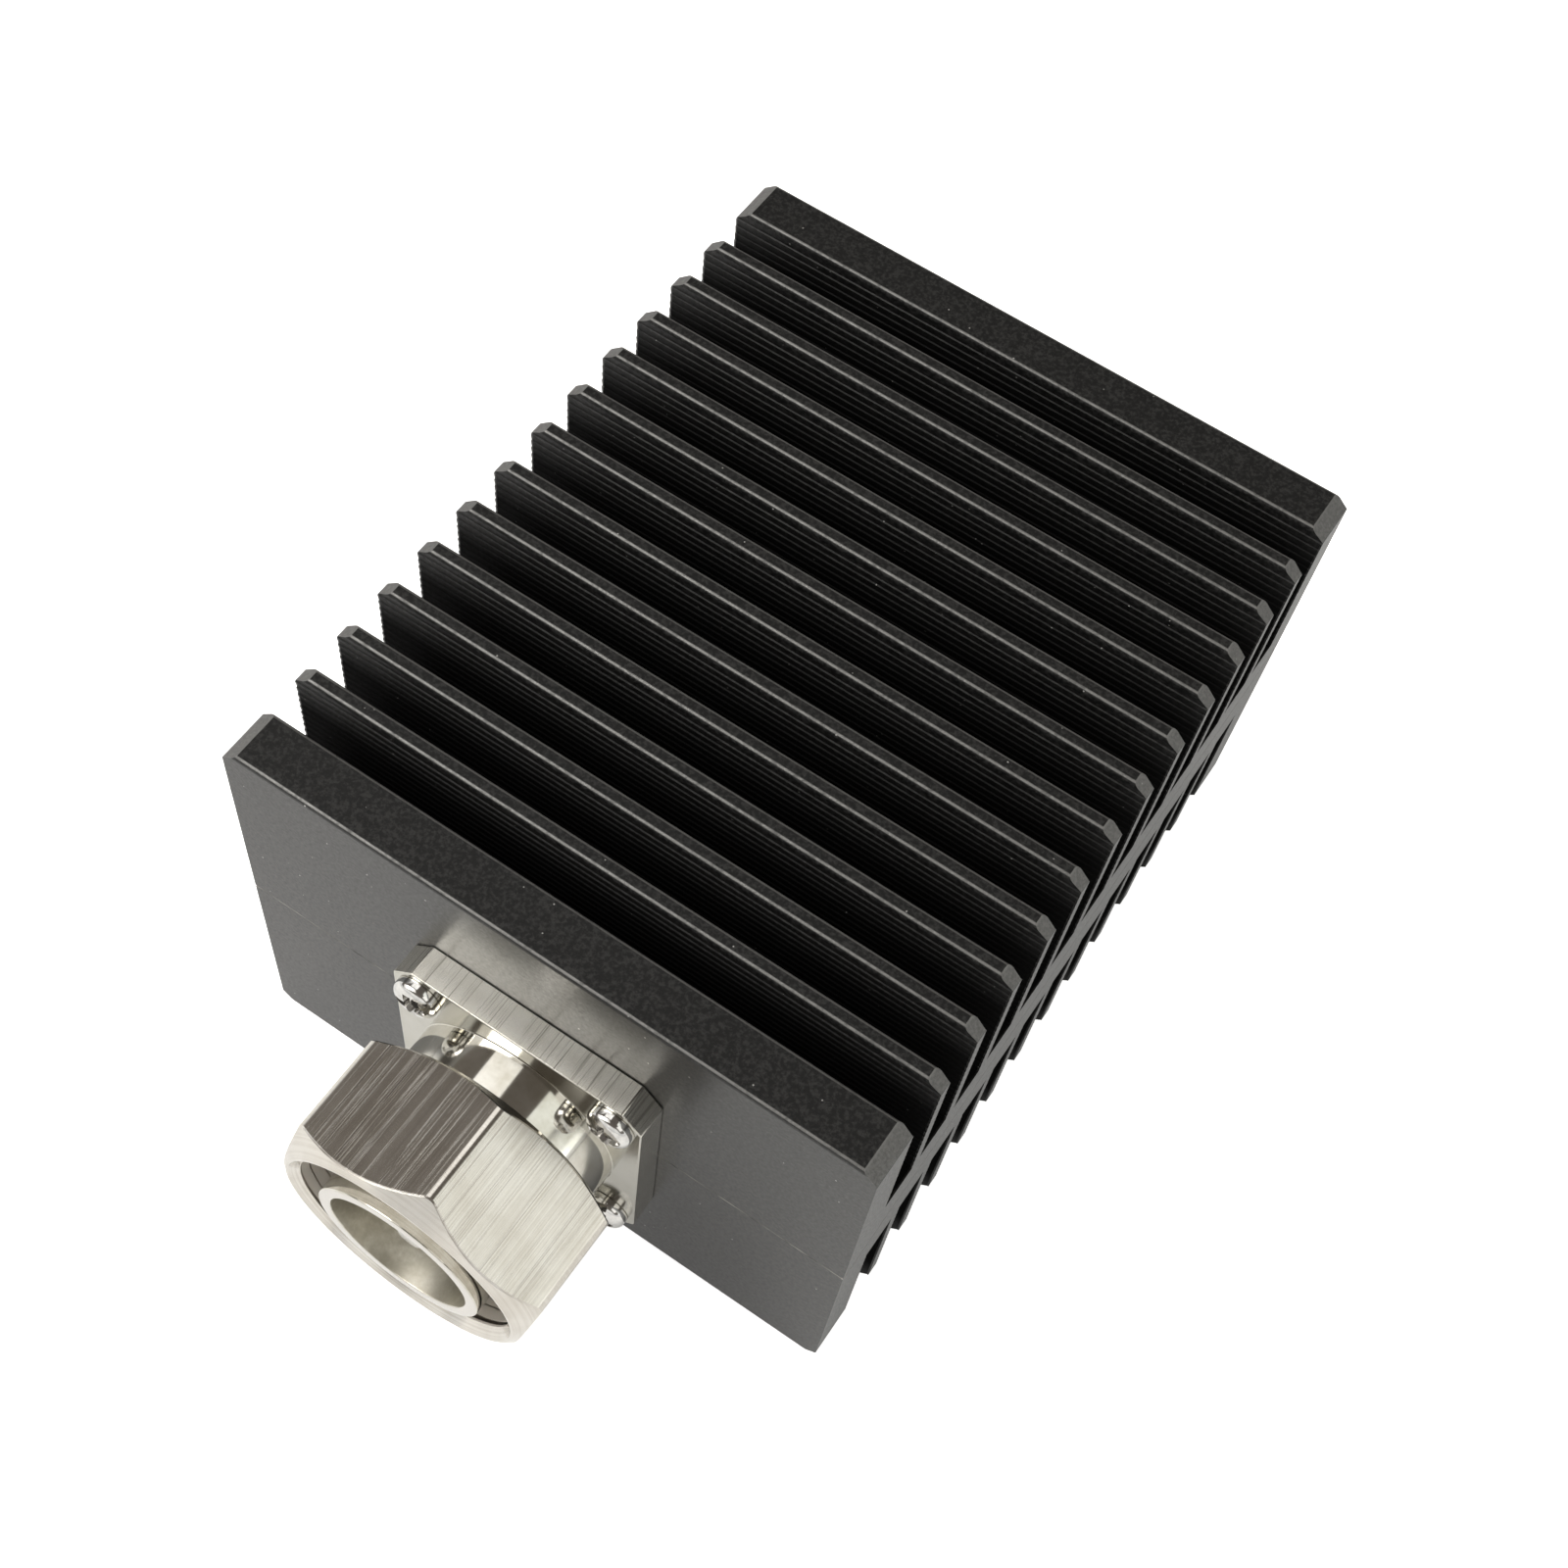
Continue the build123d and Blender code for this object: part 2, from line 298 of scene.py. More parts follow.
body = {
    "flangeSide": 32.0,
    "flangeThickness": 4.0,
    "flangeCorner": 2.5,
    "flangeEdge": 0.16,
    "neckR": 12.75,
    "foot": 0.12,              # small radius where the neck meets the flange
    "neckEnd": 14.0,
    "neckEdge": 0.2,
    "seatR": 10.9,
    "gasket": 1.6,
    "tubeR": 10.5,
    "tubeReach": 25.1,
    "rim": 0.18,
    "socketR": 8.9,
    "socketDepth": 8.5,
    "lineR": 8.0,
    "beadR": 9.0,
    "beadFront": 12.0,
    "grooveR": 12.0,
    "grooveBack": 11.0,
    "grooveFront": 12.2,
    "barrelBack": 0.3,         # the turned part starts inside the flange
    "barrelSunk": 0.05,        # and its foot lies in the flange's face
    "steps": 144,
}


nut = {
    "flats": 31.4,
    "cornerRound": 1.5,
    "front": 24.9,
    "back": 9.3,
    "frontR": 15.0,
    "frontSlope": 2.2,
    "backR": 14.9,
    "backSlope": 1.6,
    "leadR": 14.7,
    "leadDepth": 1.1,
    "boreR": 14.5,             # bottom of the thread's grooves
    "threadR": 13.8,
    "threadEnd": 16.5,
    "pitch": 1.5,
    "crestWidth": 0.375,
    "rootWidth": 1.32,
    "sunk": 0.03,              # how far the thread's foot lies in the bore's wall
    "runIn": 1.55,             # from the relief to where the thread starts
    "runOut": 0.17,            # from where it ends to the lead-in cone
    "startShare": 0.03,        # of its full size, where the thread starts
    "growth": 2.5,             # how fast it grows from there: times its full size in a turn
    "landFoot": 0.82,          # land behind the lead-in cone: depths of its foot, its top and its end
    "landTop": 0.3,
    "landEnd": 0.05,
    "leadEdge": 0.04,          # edge between the land and the cone
    "reliefR": 14.6,
    "collarR": 12.83,
    "collarFront": 13.2,
    "collarEdge": 0.2,
    "ringR": 13.4,             # groove for the spring ring
    "ringBack": 10.9,
    "ringFront": 12.3,
    "turn": 11.9,              # degrees
    "edge": 0.13,
    "flatSteps": 24,
    "cornerSteps": 10,
    "threadSteps": 96,         # in a turn
}


finned = {
    "Front Plate": 6.6,
    "Back Plate": 6.25,
    "Fins": 12,
    "Fin Pitch": 6.88,
    "Fin Thickness": 1.9,
    "Root Height": 7.85,
    "Tip Radius": 0.5,
    "Ribs": 18,                # on each side of a fin
    "Rib Depth": 0.14,
    "Rib Ledge": 0.12,         # height of each rib's upper flank
    "Tip Steps": 5,
    "Seam Bevel": 0.08,
}

endCut = {
    "from": 28.16,             # height over the seam where the sloped cut of the ends starts
    "slope": 1.208,            # x over z
    "seam": 0.2,               # bevel of the seam on these ends
}


anodised = {
    "dark": (0.0028, 0.0028, 0.0027, 1),
    "light": (0.0245, 0.0236, 0.0218, 1),
    "grit": (0.031, 0.0305, 0.0295, 1),  # the palest grains of the blasted faces
    "dust": (0.62, 0.61, 0.59, 1),
    "seam": (0.34, 0.33, 0.30, 1),
    "seamWidth": 0.12,         # worn edges on both sides of the seam, widened on the long sides as a painted reflection
    "edge": (0.165, 0.163, 0.157, 1),
    "edgeMetal": 0.9,          # how far the edges of the tips are rubbed to bare metal
    "rough": 0.31,
    "blasted": 0.17,           # added roughness of all but the sawn faces
    "matte": 0.30,             # share of them without any gloss
    "channelMatte": 0.58,      # added to it down in the channels
    "grain": 2.9,              # blasted grains per millimetre
    "grainDepth": 0.021,
    "sideDepth": 0.22,         # how far in the sawn finish of the two long sides reaches
    "endDepth": 0.09,          # and that of the front and back
    "channelDepth": (0.8, 6.0),          # below the tips, where the painted shade of the channels fades in
    "tipEdge": (0.17, 0.11),   # below the tips, where the rubbed line fades out
    "dustScale": 0.55,         # places per millimetre where a grain of dust may lie
    "dustSize": 0.05,
}


def anodisedMaterial():
    # blasted and grainy, smoother where sawn, painted shade and dullness in the channels, rubbed tips, a
    # rubbed seam with painted reflection
    material, graph, shader = newMaterial("anodisedBlock")
    spot = place(graph)
    fine = noise(graph, spot, anodised["grain"], 2.0, 0.65)
    grain = noise(graph, spot, anodised["grain"] * 0.85, 2.0, 0.6)
    cloud = noise(graph, spot, 0.06, 3.0, 0.55)
    across = graph.node("ShaderNodeSeparateXYZ", None, {0: spot})
    along = abs(across.other("Y") - faceY / mm - blockLength / 2)
    flank = abs(across) > blockWidth / 2 - anodised["sideDepth"]
    sawn = flank.math("MAXIMUM", along > blockLength / 2 - anodised["endDepth"])
    fromSeam = abs(across.other("Z") - axisZ / mm)
    below = halfHeight - fromSeam                  # depth below the tips
    pale = mixColour(graph, sawn, anodised["grit"], anodised["light"])
    tone = graph.spread(fine * 0.85 + cloud * 0.15, 0.50, 0.66) * sawn
    tone = tone + graph.spread(grain, 0.44, 0.64) * (1 - sawn)
    # painted shade: the colour darkens down in the channels between the fins, where little light reaches, and
    # there the gloss turns matte
    channelShade = graph.spread(below, *anodised["channelDepth"]) * (1 - sawn)
    colour = mixColour(graph, tone * (1 - channelShade * 0.8), anodised["dark"], pale)
    dust = graph.node("ShaderNodeTexVoronoi", None, {"Vector": spot, "Scale": anodised["dustScale"]})
    speck = (dust < anodised["dustSize"]) * (noise(graph, spot, 0.2, 1.0) > 0.5)
    colour = mixColour(graph, speck * 0.85, colour, anodised["dust"])
    edge = graph.spread(below, *anodised["tipEdge"]) * graph.spread(below, 0.004, 0.02)
    edge = edge * graph.spread(noise(graph, spot, 0.9, 3.0, 0.7), 0.3, 0.5, 0.55, 1.0)
    colour = mixColour(graph, edge, colour, anodised["edge"])
    slope = (fromSeam - endCut["from"]) * endCut["slope"] + abs(across) - blockWidth / 2
    slope = (slope > -0.03) * (fromSeam > endCut["from"] + 0.02)
    colour = mixColour(graph, slope * graph.spread(fine, 0.40, 0.62, 0.48, 0.72), colour, anodised["edge"])
    # the seam's pale band is rubbed metal; on the two long sides it is widened and made even as a painted
    # reflection of the seam's bevel
    width = anodised["seamWidth"] * (1 + flank * 1.4)
    worn = graph.spread(fromSeam, width, width * 0.4)
    worn = worn * graph.spread(noise(graph, spot, 0.35, 3.0), 0.35, 0.6).math("MAXIMUM", flank * 0.75)
    colour = mixColour(graph, worn, colour, anodised["seam"])
    rough = graph.spread(noise(graph, spot, 2.2, 2.0), 0.3, 0.7,
                         anodised["rough"] - 0.03, anodised["rough"] + 0.07)
    rough = rough + (1 - sawn) * anodised["blasted"] + channelShade * 0.15
    blast = bump(graph, fine * (1 - sawn * 0.6), anodised["grainDepth"])
    feed(graph, shader, {"Base Color": colour, "Roughness": rough, "Metallic": edge * anodised["edgeMetal"],
                         "IOR": 1.48, "Normal": blast})
    dull = (1 - sawn) * (1 - edge) * (1 - slope) * (channelShade * anodised["channelMatte"] + anodised["matte"])
    matte = graph.node("ShaderNodeBsdfDiffuse", None, {"Color": anodised["dark"]})
    both = graph.node("ShaderNodeMixShader", None, {0: dull, 1: Wire(graph, shader.outputs[0]), 2: matte})
    feed(graph, material.node_tree.nodes["Material Output"], {"Surface": both})
    return material


plated = {
    "pale": (0.69, 0.675, 0.62, 1),
    "warm": (0.54, 0.515, 0.445, 1),
    "bore": (0.47, 0.445, 0.375, 1),
    "rim": (0.66, 0.635, 0.60, 1),
    "face": (0.44, 0.43, 0.385, 1),  # front of the flange
    "side": (0.86, 0.84, 0.765, 1),  # its milled edges
    "line": (0.22, 0.20, 0.17, 1),   # in the deepest milling marks
    "polished": 0.085,
    "satin": 0.13,
    "milled": 0.24,
    "milling": (8.0, 0.12, 8.0),         # marks per millimetre on the flange's edges, along x, y and z
    "deepMilling": (5.5, 0.04, 5.5),
    "millingDepth": 0.007,
}


def fromAxis(graph, spot):
    # x and z from the connector's axis, and the distance from it
    x = graph.node("ShaderNodeSeparateXYZ", None, {0: spot})
    y, z = x.other("Y"), x.other("Z") - axisZ / mm
    return x, faceY / mm - y, z, (x * x + z * z).math("SQRT")


def platedMaterial():
    # polished neck and tube, satin flange face and bore, milled flange edges
    material, graph, shader = newMaterial("whiteBronze")
    spot = place(graph)
    x, d, z, r = fromAxis(graph, spot)
    flange = d < body["flangeThickness"] + 0.02
    half = body["flangeSide"] / 2
    corner = (abs(x) + abs(z) - (2 * half - body["flangeCorner"])) * math.sqrt(0.5)
    edge = abs(x).math("MAXIMUM", abs(z)) - half
    side = flange * (edge.math("MAXIMUM", corner) > -0.12) * (d < body["flangeThickness"] - 0.1)
    bore = (r < body["socketR"] + 0.05) * (d > body["beadFront"])
    rim = (r < body["tubeR"] - 0.1) * (d > body["tubeReach"] - 0.05)
    cloud = noise(graph, spot, 0.35, 3.0, 0.6)
    blotch = noise(graph, spot, 1.1, 4.0, 0.65)
    milled = noise(graph, place(graph, plated["milling"]), 1.0, 2.0, 0.7)
    deep = graph.spread(noise(graph, place(graph, plated["deepMilling"]), 1.0, 2.0, 0.8), 0.57, 0.64)
    tint = mixColour(graph, graph.spread(cloud, 0.35, 0.7), plated["pale"], plated["warm"])
    tint = mixColour(graph, bore * graph.spread(blotch, 0.35, 0.62, 0.45, 1.0), tint, plated["bore"])
    tint = mixColour(graph, rim, tint, plated["rim"])
    tint = mixColour(graph, flange * (1 - side) * 0.7, tint, plated["face"])
    tint = mixColour(graph, side * 0.6, tint, plated["side"])
    tint = mixColour(graph, side * deep * 0.7, tint, plated["line"])
    smooth = cloud * 0.04 + plated["polished"] - 0.02
    rough = smooth * (1 - flange) + flange * (1 - side) * plated["satin"] + side * plated["milled"]
    rough = rough + bore * graph.spread(blotch, 0.3, 0.7, 0.22, 0.36) + rim * 0.14
    lines = bump(graph, milled * side, plated["millingDepth"])
    uneven = bump(graph, cloud, 0.0012, 1.0, lines)
    feed(graph, shader, {"Base Color": tint, "Roughness": rough, "Metallic": 1.0, "Normal": uneven})
    return material


nutFinish = {
    "pale": (0.70, 0.675, 0.63, 1),
    "warm": (0.56, 0.525, 0.47, 1),
    "scratch": (0.24, 0.215, 0.19, 1),
    "bright": (0.90, 0.88, 0.84, 1),
    "bore": (0.80, 0.735, 0.655, 1),
    "boreRough": 0.30,
    "crest": (0.94, 0.91, 0.86, 1),      # tops of the thread, scuffed, their pale tint a painted highlight
    "crestRough": 0.52,
    "groove": (0.13, 0.115, 0.095, 1),   # painted shade in the first groove behind the lead-in
    "flatRough": 0.17,
    "turnedRough": 0.15,
    "drawnMarks": (2.6, 0.010, 2.6),     # per millimetre along x, y and z
    "thinMarks": (6.0, 0.014, 6.0),
    "deepMarks": (3.4, 0.012, 3.4),
    "lightMarks": (4.6, 0.024, 4.6),
    "latheMarks": 4.5,
    "marksDepth": 0.011,
}


def nutMaterial():
    # drawn flats with long uneven marks, turned cones and corners, scuffed thread crests with painted
    # highlight
    material, graph, shader = newMaterial("nutPlating")
    spot = place(graph)
    x, d, z, r = fromAxis(graph, spot)
    across = None
    for k in range(3):
        a = math.radians(60 * k - nut["turn"])
        reach = abs(x * math.cos(a) + z * math.sin(a))
        across = reach if across is None else across.math("MAXIMUM", reach)
    flat = graph.spread(across, nut["flats"] / 2 - 0.05, nut["flats"] / 2 - 0.01)
    lip = nut["front"] - nut["leadDepth"]
    inside = (r < nut["leadR"] + 0.1) * graph.spread(d, lip + 0.02, lip - 0.1)
    drawn = noise(graph, place(graph, nutFinish["drawnMarks"]), 1.0, 3.0, 0.75)
    thin = noise(graph, place(graph, nutFinish["thinMarks"]), 1.0, 2.0, 0.6)
    deep = graph.spread(noise(graph, place(graph, nutFinish["deepMarks"]), 1.0, 3.0, 0.8), 0.57, 0.61)
    light = graph.spread(noise(graph, place(graph, nutFinish["lightMarks"]), 1.0, 2.0, 0.75), 0.63, 0.69)
    cloud = noise(graph, spot, 0.2, 3.0, 0.6)
    turning = graph.node("ShaderNodeCombineXYZ", None,
                         {0: r * nutFinish["latheMarks"], 1: d * nutFinish["latheMarks"]})
    marks = flat * thin + (1 - flat) * noise(graph, turning, 1.0, 2.0, 0.7)
    worn = graph.spread(marks * 0.55 + cloud * 0.45, 0.38, 0.64)
    tint = mixColour(graph, worn, nutFinish["pale"], nutFinish["warm"])
    tint = mixColour(graph, flat * deep * 0.30, tint, nutFinish["scratch"])
    tint = mixColour(graph, flat * light * 0.12, tint, nutFinish["bright"])
    # the crests are rough from scuffing, and their pale tint is a painted highlight where a rounded crest
    # would catch the lamp
    crest = inside * (r < nut["threadR"] + 0.07)
    # painted shade: the first groove behind the lead-in is darkened where the lip shades it
    groove = (inside - crest) * graph.spread(d, lip - 1.3, lip - 0.9)
    tint = mixColour(graph, inside, tint, nutFinish["bore"])
    tint = mixColour(graph, groove * 0.85, tint, nutFinish["groove"])
    tint = mixColour(graph, crest, tint, nutFinish["crest"])
    rough = flat * graph.spread(thin, 0.3, 0.7, nutFinish["flatRough"] - 0.04, nutFinish["flatRough"] + 0.1)
    rough = rough + (1 - flat) * (nutFinish["turnedRough"] + cloud * 0.06)
    rough = rough + inside * (nutFinish["boreRough"] - nutFinish["turnedRough"])
    rough = rough + crest * (nutFinish["crestRough"] - nutFinish["boreRough"])
    height = (drawn * 0.5 + thin * 0.5 - deep * 0.5 + light * 0.08) * flat
    feed(graph, shader, {"Base Color": tint, "Roughness": rough, "Metallic": 1.0,
                         "Normal": bump(graph, height, nutFinish["marksDepth"])})
    return material


def metalMaterial(name, colour, low, high, scale=1.5, depth=0.002, metallic=1.0):
    # a plain metal with clouded gloss and a little unevenness
    material, graph, shader = newMaterial(name)
    spot = place(graph)
    cloud = noise(graph, spot, scale, 3.0, 0.6)
    darker = tuple(0.8 * part for part in colour[:3]) + (1,)
    tint = mixColour(graph, graph.spread(cloud, 0.35, 0.7), colour, darker)
    rough = graph.spread(cloud, 0.3, 0.7, low, high)
    feed(graph, shader, {"Base Color": tint, "Roughness": rough, "Metallic": metallic,
                         "Normal": bump(graph, cloud, depth)})
    return material


# a plain finish's values: colour, lowest and highest roughness, clouds per millimetre, depth, metallic
looks = {
    "anodised_block": anodisedMaterial(),
    "black_screw": metalMaterial("blackScrew", (0.03, 0.03, 0.032, 1), 0.3, 0.45, 3.0, 0.003, 0.6),
    "white_bronze": platedMaterial(),
    "steel_screw": metalMaterial("steelScrew", (0.74, 0.73, 0.71, 1), 0.06, 0.16),
    "nut_plating": nutMaterial(),
    "spring_bronze": metalMaterial("springBronze", (0.62, 0.42, 0.2, 1), 0.25, 0.4),
    "silicone": metalMaterial("silicone", (0.30, 0.085, 0.055, 1), 0.5, 0.7, 4.0, 0.01, 0.0),
    "ptfe": metalMaterial("ptfe", (0.78, 0.77, 0.72, 1), 0.35, 0.5, 2.0, 0.004, 0.0),
    "silver": metalMaterial("silver", (0.86, 0.85, 0.82, 1), 0.12, 0.25),
    "foil": metalMaterial("foil", (0.72, 0.72, 0.72, 1), 0.3, 0.45),
    "plated_copper": metalMaterial("platedCopper", (0.76, 0.72, 0.62, 1), 0.2, 0.35),
    "chip_ceramic": metalMaterial("chipCeramic", (0.8, 0.8, 0.77, 1), 0.5, 0.65, 5.0, 0.004, 0.0),
    "resistor_ink": metalMaterial("resistorInk", (0.02, 0.02, 0.02, 1), 0.4, 0.55, 5.0, 0.004, 0.0),
    "lid_ceramic": metalMaterial("lidCeramic", (0.84, 0.84, 0.81, 1), 0.5, 0.65, 5.0, 0.004, 0.0),
}

for row in frame["record"]["subparts"]:
    mesh = nodes[row["node"]].data
    mesh.materials.clear()
    mesh.materials.append(looks[row["material_slot"]])
print("materials done")


def finnedTree(sizes):
    # the comb's outline from the point number alone, filled and drawn out along X
    graph, g = newTree("finnedHalf", sizes)
    ribRows = g["Ribs"] * 2
    rows = ribRows + 1 + g["Tip Steps"]
    points = rows * 2          # points of one fin
    index = graph.node("GeometryNodeInputIndex")
    fin = (index / points).math("FLOOR")
    within = index - fin * points
    offset = within - (points - 1) / 2
    side = offset.math("SIGN")
    row = (points - 1) / 2 - abs(offset)          # 0 at the root, counted up to the tip
    isFront = fin < 0.5
    isBack = fin > (g["Fins"] + 0.5)
    isFin = 1 - isFront - isBack
    gap = g["Fin Pitch"] - g["Fin Thickness"]
    finMiddle = g["Front Plate"] + gap + (fin - 1) * g["Fin Pitch"] + g["Fin Thickness"] / 2
    middle = isFront * (g["Front Plate"] / 2) + isBack * (g["Length"] - g["Back Plate"] / 2)
    middle = middle + isFin * finMiddle
    thickness = isFront * g["Front Plate"] + isBack * g["Back Plate"] + isFin * g["Fin Thickness"]
    ribbed = isFin + isFront * (side > 0) + isBack * (side < 0)
    turn = (row - ribRows).math("MAXIMUM", 0) / g["Tip Steps"] * (math.pi / 2)
    ribStep = (g["Height"] - g["Tip Radius"] - g["Root Height"]) / ribRows
    odd = (row % 2) * (row < ribRows)
    height = g["Root Height"] + row.math("MINIMUM", ribRows) * ribStep - odd * (ribStep - g["Rib Ledge"])
    height = height + g["Tip Radius"] * turn.math("SINE")
    inset = g["Tip Radius"] * (1 - turn.math("COSINE")) + g["Rib Depth"] * odd * ribbed
    along = middle + side * (thickness / 2 - inset)
    last = index - (g["Fins"] + 2) * points       # four corners at the seam close the outline
    isFoot = last > -0.5
    isLow = (last > 0.5) * (last < 2.5)
    atFront = last > 1.5
    cut = g["Seam Bevel"] * isLow
    footAlong = atFront * cut + (1 - atFront) * (g["Length"] - cut)
    footHeight = g["Seam Bevel"] * (1 - isLow)
    along = along * (1 - isFoot) + footAlong * isFoot
    height = height * (1 - isFoot) + footHeight * isFoot
    outline = graph.node("ShaderNodeCombineXYZ", None, {0: along, 1: height})
    line = graph.node("GeometryNodeCurvePrimitiveLine")
    line = graph.node("GeometryNodeResampleCurve", {"mode": "COUNT"},
                      {"Curve": line, "Count": (g["Fins"] + 2) * points + 4})
    line = graph.node("GeometryNodeSetSplineCyclic", None, {0: line, "Cyclic": True})
    line = graph.node("GeometryNodeSetPosition", None, {"Geometry": line, "Position": outline})
    end = graph.node("GeometryNodeFillCurve", {"mode": "TRIANGLES"}, {0: line})
    reach = graph.node("ShaderNodeCombineXYZ", None, {2: g["Width"]})
    drawn = graph.node("GeometryNodeExtrudeMesh", {"mode": "FACES"},
                       {"Mesh": end, "Offset": reach, "Individual": False})
    other = graph.node("GeometryNodeFlipFaces", None, {0: end})
    both = graph.node("GeometryNodeJoinGeometry", None, {0: [drawn, other]})
    closed = graph.node("GeometryNodeMergeByDistance", None, {"Geometry": both, "Distance": 0.0005})
    spot = graph.node("GeometryNodeInputPosition")
    x = graph.node("ShaderNodeSeparateXYZ", None, {0: spot})
    y, z = x.other("Y"), x.other("Z")
    across = (z - g["Width"] / 2).math("SIGN") * (g["Width"] / 2) * g["Turned"]
    up = y * g["Turned"]
    final = graph.node("ShaderNodeCombineXYZ", None,
                       {0: across * mm, 1: x * mm + g["Face Y"], 2: up * mm + g["Axis Z"]})
    solid = graph.node("GeometryNodeSetPosition", None, {"Geometry": closed, "Position": final})
    endTree(graph, solid, g["Material"])
    return graph


def finnedHalf(name, node, turned):
    sizes = {**finned, "Length": blockLength, "Width": blockWidth, "Height": halfHeight,
             "Turned": turned, "Face Y": faceY, "Axis Z": axisZ, "Material": looks["anodised_block"]}
    mesh = runTree(name, finnedTree(sizes), sizes)
    shell = bmesh.new()
    shell.from_mesh(mesh)
    bevel, start = endCut["seam"] * mm, endCut["from"] * mm
    for height in (bevel, start):                  # edges where the seam's bevel and the sloped cut begin
        bmesh.ops.bisect_plane(shell, geom=shell.verts[:] + shell.edges[:] + shell.faces[:], dist=1e-7,
                               plane_co=(0, 0, axisZ + turned * height), plane_no=(0, 0, 1))
    for vert in shell.verts:
        height = abs(vert.co.z - axisZ)
        inward = max(bevel - height, 0) + max(height - start, 0) * endCut["slope"]
        vert.co.x -= math.copysign(inward, vert.co.x)
    bmesh.ops.recalc_face_normals(shell, faces=shell.faces)
    shell.to_mesh(mesh)
    shell.free()
    return addObject(name, mesh, "block", None, standsFor=(node,), flatFrom=20.0)


finnedHalf("upperFins", "upper_heatsink", 1.0)
finnedHalf("lowerFins", "lower_heatsink", -1.0)
print("block done")


def flangeMesh():
    half, corner = body["flangeSide"] / 2, body["flangeCorner"]
    short = half - corner
    outline = [(short, half), (half, short), (half, -short), (short, -half),
               (-short, -half), (-half, -short), (-half, short), (-short, half)]
    shell = bmesh.new()
    back = [shell.verts.new((x * mm, faceY, axisZ + z * mm)) for x, z in outline]
    frontY = faceY - body["flangeThickness"] * mm
    front = [shell.verts.new((x * mm, frontY, axisZ + z * mm)) for x, z in outline]
    shell.faces.new(back)
    shell.faces.new(reversed(front))
    joinRings(shell, front, back)
    bmesh.ops.recalc_face_normals(shell, faces=shell.faces)
    bmesh.ops.bevel(shell, geom=shell.edges[:], offset=body["flangeEdge"] * mm, segments=3,
                    affect="EDGES", profile=0.5)
    return shellMesh(shell, "flange")


def joinMeshes(name, *meshes):
    shell = bmesh.new()
    for mesh in meshes:
        shell.from_mesh(mesh)
    return shellMesh(shell, name)


def connectorBody():
    b = body
    rim = b["rim"]
    seat = b["flangeThickness"]
    rows = [(b["beadR"], b["barrelBack"]), (b["neckR"], b["barrelBack"]),
            (b["neckR"] + b["foot"], seat - b["barrelSunk"])]
    rows += arc(b["neckR"] + b["foot"], seat + b["foot"], b["foot"], 270, 180)
    rows += [(b["neckR"], b["grooveBack"]), (b["grooveR"], b["grooveBack"]),
             (b["grooveR"], b["grooveFront"]), (b["neckR"], b["grooveFront"])]
    rows += arc(b["neckR"] - b["neckEdge"], b["neckEnd"] - b["neckEdge"], b["neckEdge"], 0, 90)
    rows += [(b["seatR"], b["neckEnd"]), (b["seatR"], b["neckEnd"] + b["gasket"]),
             (b["tubeR"], b["neckEnd"] + b["gasket"])]
    rows += arc(b["tubeR"] - rim, b["tubeReach"] - rim, rim, 0, 90)
    rows += arc(b["socketR"] + rim, b["tubeReach"] - rim, rim, 90, 180)
    socketEnd = b["tubeReach"] - b["socketDepth"]
    rows += [(b["socketR"], socketEnd), (b["lineR"], socketEnd), (b["lineR"], b["beadFront"]),
             (b["beadR"], b["beadFront"])]
    barrel = turnedMesh("barrel", rows, evenAngles(b["steps"]))
    mesh = joinMeshes("connectorBody", flangeMesh(), barrel)
    return addObject("connectorBody", mesh, "block", looks["white_bronze"], sharp=25.0,
                     standsFor=("connector_body",), flatFrom=10.0)


pin = {
    "r": 3.5,
    "tip": 23.1,
    "nose": 19.9,
    "tipR": 1.45,
    "bulge": 0.16,             # how far the nose swells out of a straight cone
    "bead": 12.0,
    "waistR": 2.39,
    "back": 7.0,
    "studR": 1.5,
    "end": 3.0,
    "steps": 72,
    "noseSteps": 14,
}


def centrePin():
    p = pin
    rows = [(0.0, p["tip"])]
    for i in range(p["noseSteps"] + 1):
        t = i / p["noseSteps"]
        swell = p["bulge"] * math.sin(math.pi * t)
        r = p["tipR"] + (p["r"] - p["tipR"]) * t + swell
        d = p["tip"] + (p["nose"] - p["tip"]) * t + swell
        rows.append((min(r, p["r"]), min(d, p["tip"])))
    rows += [(p["r"], p["bead"]), (p["waistR"], p["bead"]), (p["waistR"], p["back"]),
             (p["studR"], p["back"]), (p["studR"], p["end"]), (0.0, p["end"])]
    mesh = turnedMesh("centrePin", rows, evenAngles(p["steps"]), closed=False)
    return addObject("centrePin", mesh, "block", looks["silver"], sharp=35.0,
                     standsFor=("centre_pin",))


connectorBody()
centrePin()
print("connector done")


screw = {
    "Spacing": 25.0,
    "headR": 2.75,
    "headHeight": 1.9,
    "headEdge": 0.08,          # small bevel under the head
    "sideHeight": 0.75,
    "threadR": 1.5,
    "length": 8.0,
    "crownR": 0.80,            # flat middle of the head's crown
    "crossWidth": 4.25,
    "crossSlot": 1.1,
    "crossDepth": 1.7,
    "crossAbove": 0.2,         # how far the cutter starts above the head
    "crossTaper": 0.341,       # width at the recess's bottom over that at its top
    "slotTaper": 0.7,
    "Seed": 4,
    "steps": 48,
    "crownSteps": 9,
}


def lathed(name, rows, steps):
    # a turned piece about the world's Z axis, in metres, rows as (radius, height) in millimetres
    shell = bmesh.new()
    rings = []
    for r, h in rows:
        rings.append([shell.verts.new((r * mm * math.cos(a), r * mm * math.sin(a), h * mm))
                      for a in evenAngles(steps)])
    for first, second in zip(rings, rings[1:]):
        joinRings(shell, first, second)
    bmesh.ops.remove_doubles(shell, verts=shell.verts, dist=1e-7)
    bmesh.ops.dissolve_degenerate(shell, edges=shell.edges, dist=1e-8)
    bmesh.ops.recalc_face_normals(shell, faces=shell.faces)
    return shellMesh(shell, name)


